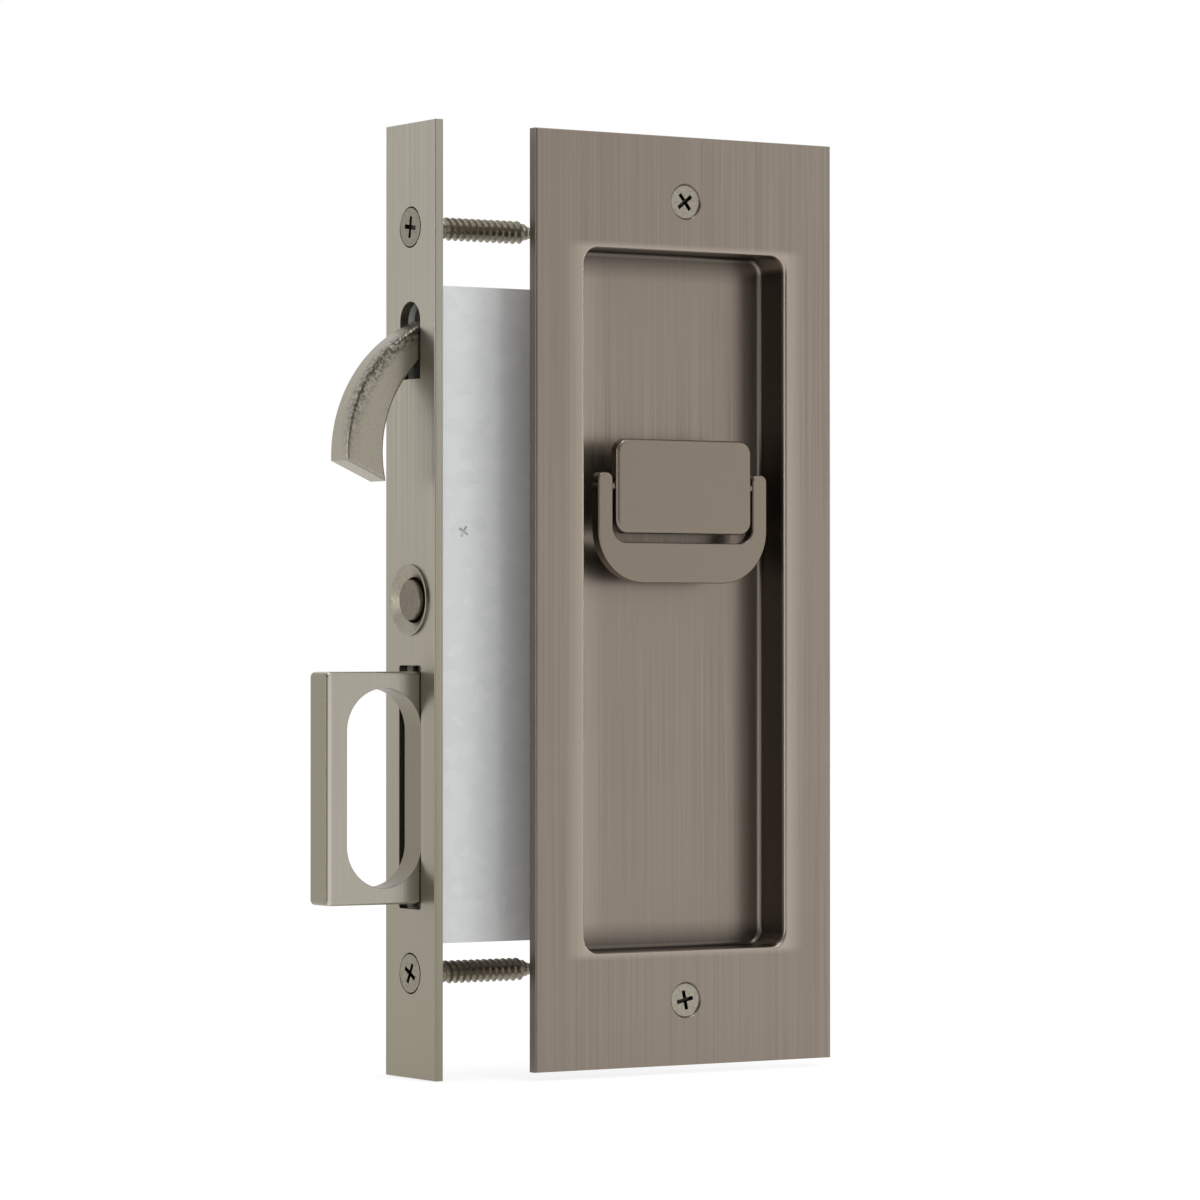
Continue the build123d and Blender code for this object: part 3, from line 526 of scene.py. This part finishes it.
def screw_nickel(node, mount_name, cross_r, light, dark):
    """Plated screws of a mount, duller in patches, with painted shade in their cross recesses."""
    material, tree, shader, colour = brushed_metal(
        f"{node}_nickel", light, dark, PATCHES, BRIGHT_ROUGHNESS, PATCH_RELIEF
    )
    mount = mount_named(mount_name)
    face = Vector(mount["axis"]).dot(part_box(node)[0])
    depth = math_node(tree, "SUBTRACT", along(tree, screw_axes(mount)[0]), face)
    # Painted shade in the cross recesses.
    sunk = fade(tree, depth, CROSS_TOP, CROSS_DARK)
    in_head = fade(tree, depth, CROSS_DEPTH + CROSS_TOP, CROSS_DEPTH)
    in_cross = fade(tree, distance_from_screws(tree, mount), cross_r + CROSS_TOP, cross_r)
    recess = multiply(tree, sunk, in_head, in_cross)
    tree.links.new(blend_colours(tree, recess, colour, CREVICE_SHADE), shader.inputs["Base Color"])
    return material


def zinc_steel():
    """Pale dull zinc plate with its crystal spangle."""
    material, tree, shader, colour = brushed_metal(
        "zinc_steel", ZINC, ZINC_DARK, SATIN_GRAIN, ZINC_ROUGHNESS, ZINC_RELIEF
    )
    shader.inputs["Metallic"].default_value = ZINC_METALLIC
    crystals = tree.nodes.new("ShaderNodeTexVoronoi")
    crystals.inputs["Scale"].default_value = 1 / SPANGLE
    tree.links.new(place_on_piece(tree), crystals.inputs["Vector"])
    shade = tree.nodes.new("ShaderNodeSeparateColor")
    tree.links.new(crystals.outputs["Color"], shade.inputs["Color"])
    share = fade(tree, shade.outputs["Red"], 0.0, 1.0, SPANGLE_SHARE)
    tree.links.new(blend_colours(tree, share, colour, ZINC_SPANGLE), shader.inputs["Base Color"])
    return material


def guide_brass():
    """Plain drawn brass."""
    return brushed_metal(
        "guide_brass", BRASS, BRASS_DARK, LEVEL_BRUSH, BRIGHT_ROUGHNESS, BRASS_RELIEF
    )[0]


def spring_steel():
    """Drawn spring wire."""
    return brushed_metal("spring_steel", WIRE, WIRE_DARK, PATCHES, WIRE_ROUGHNESS, BRUSH_RELIEF)[0]


def paint_nodes():
    """Gives every node the finish of its material slot, or its own. Returns each node's finish."""
    finishes = {
        "satin_nickel": satin_nickel(),
        "pewter": plate_pewter(),
        "pewter_smooth": smooth_pewter(),
        "zinc_steel": zinc_steel(),
        "guide_brass": guide_brass(),
        "spring_steel": spring_steel(),
    }
    slots = {p["node"]: p["material_slot"] for p in frame["record"]["subparts"]}
    special = {
        "hook_bolt": hook_nickel(),
        "edge_pull": pull_nickel(),
        "button": button_nickel(),
        "button_bushing": ring_nickel(),
        "faceplate_screws": screw_nickel(
            "faceplate_screws", "edge_screws", EDGE_CROSS_R, EDGE_SCREW, EDGE_SCREW_DARK
        ),
        "plate_screws": screw_nickel(
            "plate_screws", "pull_screws", PULL_CROSS_R, PULL_SCREW, PULL_SCREW_DARK
        ),
    }
    painted = {name: special.get(name) or finishes[slots[name]] for name in frame["nodes"]}
    for name, piece in frame["nodes"].items():
        for slot in piece.material_slots:
            slot.material = painted[name]
    return painted


def swept_mesh(name, rings):
    """Closed mesh through rings of corners that follow one another along a path."""
    count = len(rings[0])
    last = (len(rings) - 1) * count
    faces = []
    for start in range(0, last, count):
        following = start + count
        for j in range(count):
            k = (j + 1) % count
            faces.append((start + j, start + k, following + k, following + j))
    faces.append(tuple(reversed(range(count))))
    faces.append(tuple(range(last, last + count)))
    mesh = bpy.data.meshes.new(name)
    mesh.from_pydata([corner for ring in rings for corner in ring], [], faces)
    mesh.update()
    return mesh


def thread_mesh(length, root_r, axis):
    """Helical ridge of a wood screw along its axis, tapering to the point."""
    steps = int(length / THREAD_PITCH * THREAD_STEPS)
    side_a = axis.orthogonal().normalized()
    side_b = axis.cross(side_a)
    rings = []
    for i in range(steps + 1):
        along_axis = length * i / steps
        angle = 2 * pi * i / THREAD_STEPS
        taper = min(1.0, (length - along_axis) / THREAD_TAPER)
        outward = side_a * cos(angle) + side_b * sin(angle)
        root = max(root_r * taper - THREAD_SUNK, THREAD_SUNK)
        crest = root + (THREAD_HEIGHT + THREAD_SUNK) * min(1.0, i / THREAD_STEPS) * taper
        profile = ((root, -THREAD_ROOT_W / 2), (crest, 0.0), (root, THREAD_ROOT_W / 2))
        rings.append([axis * (along_axis + shift) + outward * radius for radius, shift in profile])
    return swept_mesh("thread", rings)


def add_threads(mount_name, node, finish):
    """Threads on the two wood screws of a mount, one above and one below."""
    mount = mount_named(mount_name)
    axis = Vector(mount["axis"])
    low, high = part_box(node)
    start = axis.dot(low) + THREAD_START
    root_r = mount["dims"]["stud_r_mm"] * MM
    mesh = thread_mesh(axis.dot(high) - start, root_r, axis)
    mesh.materials.append(finish)
    middle = Vector(mount["pos_m"])
    place = middle + axis * (start - axis.dot(middle))
    for side in (1, -1):
        thread = bpy.data.objects.new(f"{node}_thread", mesh)
        thread.location = place + Vector((0, 0, side * mount["dims"]["pcd_mm"] / 2 * MM))
        bpy.context.scene.collection.objects.link(thread)
        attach(thread, "lock_frame")


def coil_mesh(low, high, wire_r, coils):
    """Round wire wound about X, filling the space between two corners."""
    middle = (low + high) / 2
    radius = (high.z - low.z) / 2 - wire_r
    steps = coils * COIL_STEPS
    wire_angles = [2 * pi * j / WIRE_SIDES for j in range(WIRE_SIDES)]
    rings = []
    for i in range(steps + 1):
        angle = 2 * pi * i / COIL_STEPS
        x = low.x + wire_r + (high.x - low.x - 2 * wire_r) * i / steps
        outward = Vector((0, cos(angle), sin(angle)))
        centre = Vector((x, middle.y, middle.z)) + outward * radius
        rings.append(
            [centre + (outward * cos(a) + Vector((sin(a), 0, 0))) * wire_r for a in wire_angles]
        )
    mesh = swept_mesh("coil", rings)
    mesh.shade_smooth()
    return mesh


def add_spring(node, wire_r, coils, finish):
    """Coil that stands for a CAD spring."""
    low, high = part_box(node)
    mesh = coil_mesh(low, high, wire_r, coils)
    mesh.materials.append(finish)
    coil = bpy.data.objects.new(f"{node}_coil", mesh)
    bpy.context.scene.collection.objects.link(coil)
    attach(coil, "lock_frame")
    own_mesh(coil)
    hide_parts(node)


def reflected_ray(tree):
    """1 for rays that a surface has mirrored or let through."""
    rays = tree.nodes.new("ShaderNodeLightPath").outputs
    return math_node(tree, "MAXIMUM", rays["Is Glossy Ray"], rays["Is Transmission Ray"])


def shown_ray(tree):
    """1 for rays from the camera and in reflections, where the floor shows white."""
    rays = tree.nodes.new("ShaderNodeLightPath").outputs
    return math_node(tree, "MAXIMUM", rays["Is Camera Ray"], reflected_ray(tree))


def set_world():
    """White all round, but dark in reflections of the viewer's side of the room."""
    world = bpy.data.worlds.new("white_room")
    bpy.context.scene.world = world
    world.use_nodes = True
    tree = world.node_tree
    sky = tree.nodes["Background"]
    sky.inputs["Color"].default_value = (*WHITE, 1.0)
    facing = tree.nodes.new("ShaderNodeVectorMath")
    facing.operation = "DOT_PRODUCT"
    facing.inputs[1].default_value = DARK_SIDE
    tree.links.new(tree.nodes.new("ShaderNodeTexCoord").outputs["Generated"], facing.inputs[0])
    room = remap(tree, facing.outputs["Value"], *DARK_SIDE_RANGE, WORLD_LEVEL, DARK_SIDE_LEVEL)
    strength = remap(tree, reflected_ray(tree), 0.0, 1.0, WORLD_LEVEL, room)
    tree.links.new(strength, sky.inputs["Strength"])


def lay_floor():
    """White floor under the faceplate's foot, which keeps the shadow."""
    floor_z = CAD_BOUNDS[0].z - FLOOR_GAP
    bpy.ops.mesh.primitive_plane_add(size=FLOOR_SIZE, location=(0, 0, floor_z))
    floor = bpy.context.object
    floor.name = "floor"
    material = bpy.data.materials.new("floor_white")
    material.use_nodes = True
    tree = material.node_tree
    tree.nodes.clear()
    glow = tree.nodes.new("ShaderNodeEmission")
    glow.inputs["Color"].default_value = (*WHITE, 1.0)
    tree.links.new(fade(tree, shown_ray(tree), 0.0, 1.0, FLOOR_GLOW), glow.inputs["Strength"])
    matt = tree.nodes.new("ShaderNodeBsdfDiffuse")
    matt.inputs["Color"].default_value = (*FLOOR_DIFFUSE, 1.0)
    both = tree.nodes.new("ShaderNodeAddShader")
    tree.links.new(glow.outputs["Emission"], both.inputs[0])
    tree.links.new(matt.outputs["BSDF"], both.inputs[1])
    output = tree.nodes.new("ShaderNodeOutputMaterial")
    tree.links.new(both.outputs["Shader"], output.inputs["Surface"])
    floor.data.materials.append(material)


def add_light(name, place, size, power):
    """Rectangular lamp that faces the lockset."""
    lamp = bpy.data.lights.new(name, "AREA")
    lamp.shape = "RECTANGLE"
    lamp.size, lamp.size_y = size
    lamp.energy = power
    light = bpy.data.objects.new(name, lamp)
    light.location = place
    light.rotation_euler = (Vector(LIGHT_AIM) - Vector(place)).to_track_quat("-Z", "Y").to_euler()
    bpy.context.scene.collection.objects.link(light)


def add_camera():
    """Camera that sees the lockset as the photograph does."""
    turn, rise = radians(TURN_DEG), radians(RISE_DEG)
    look = Vector((sin(turn) * cos(rise), cos(turn) * cos(rise), -sin(rise)))
    right = Vector((cos(turn), -sin(turn), 0))
    lens = bpy.data.cameras.new("photo_camera")
    lens.lens = LENS
    lens.sensor_width = SENSOR
    lens.clip_start = CLIP_START
    camera = bpy.data.objects.new("photo_camera", lens)
    camera.location = right * AIM_RIGHT - look * DISTANCE
    camera.rotation_euler = look.to_track_quat("-Z", "Y").to_euler()
    bpy.context.scene.collection.objects.link(camera)
    bpy.context.scene.camera = camera


painted = paint_nodes()
add_threads("edge_screws", "faceplate_screws", painted["faceplate_screws"])
add_threads("pull_screws", "plate_screws", painted["plate_screws"])
add_spring("pull_spring", PULL_WIRE_R, PULL_COILS, painted["pull_spring"])
add_spring("button_spring", BUTTON_WIRE_R, BUTTON_COILS, painted["button_spring"])
set_world()
lay_floor()
add_light("key", KEY_PLACE, KEY_SIZE, KEY_POWER)
add_light("left_strip", LEFT_STRIP_PLACE, STRIP_SIZE, STRIP_POWER)
add_light("right_strip", RIGHT_STRIP_PLACE, STRIP_SIZE, STRIP_POWER)
add_light("top_strip", TOP_STRIP_PLACE, STRIP_SIZE, STRIP_POWER)
add_camera()
bpy.context.scene.view_settings.view_transform = "Standard"
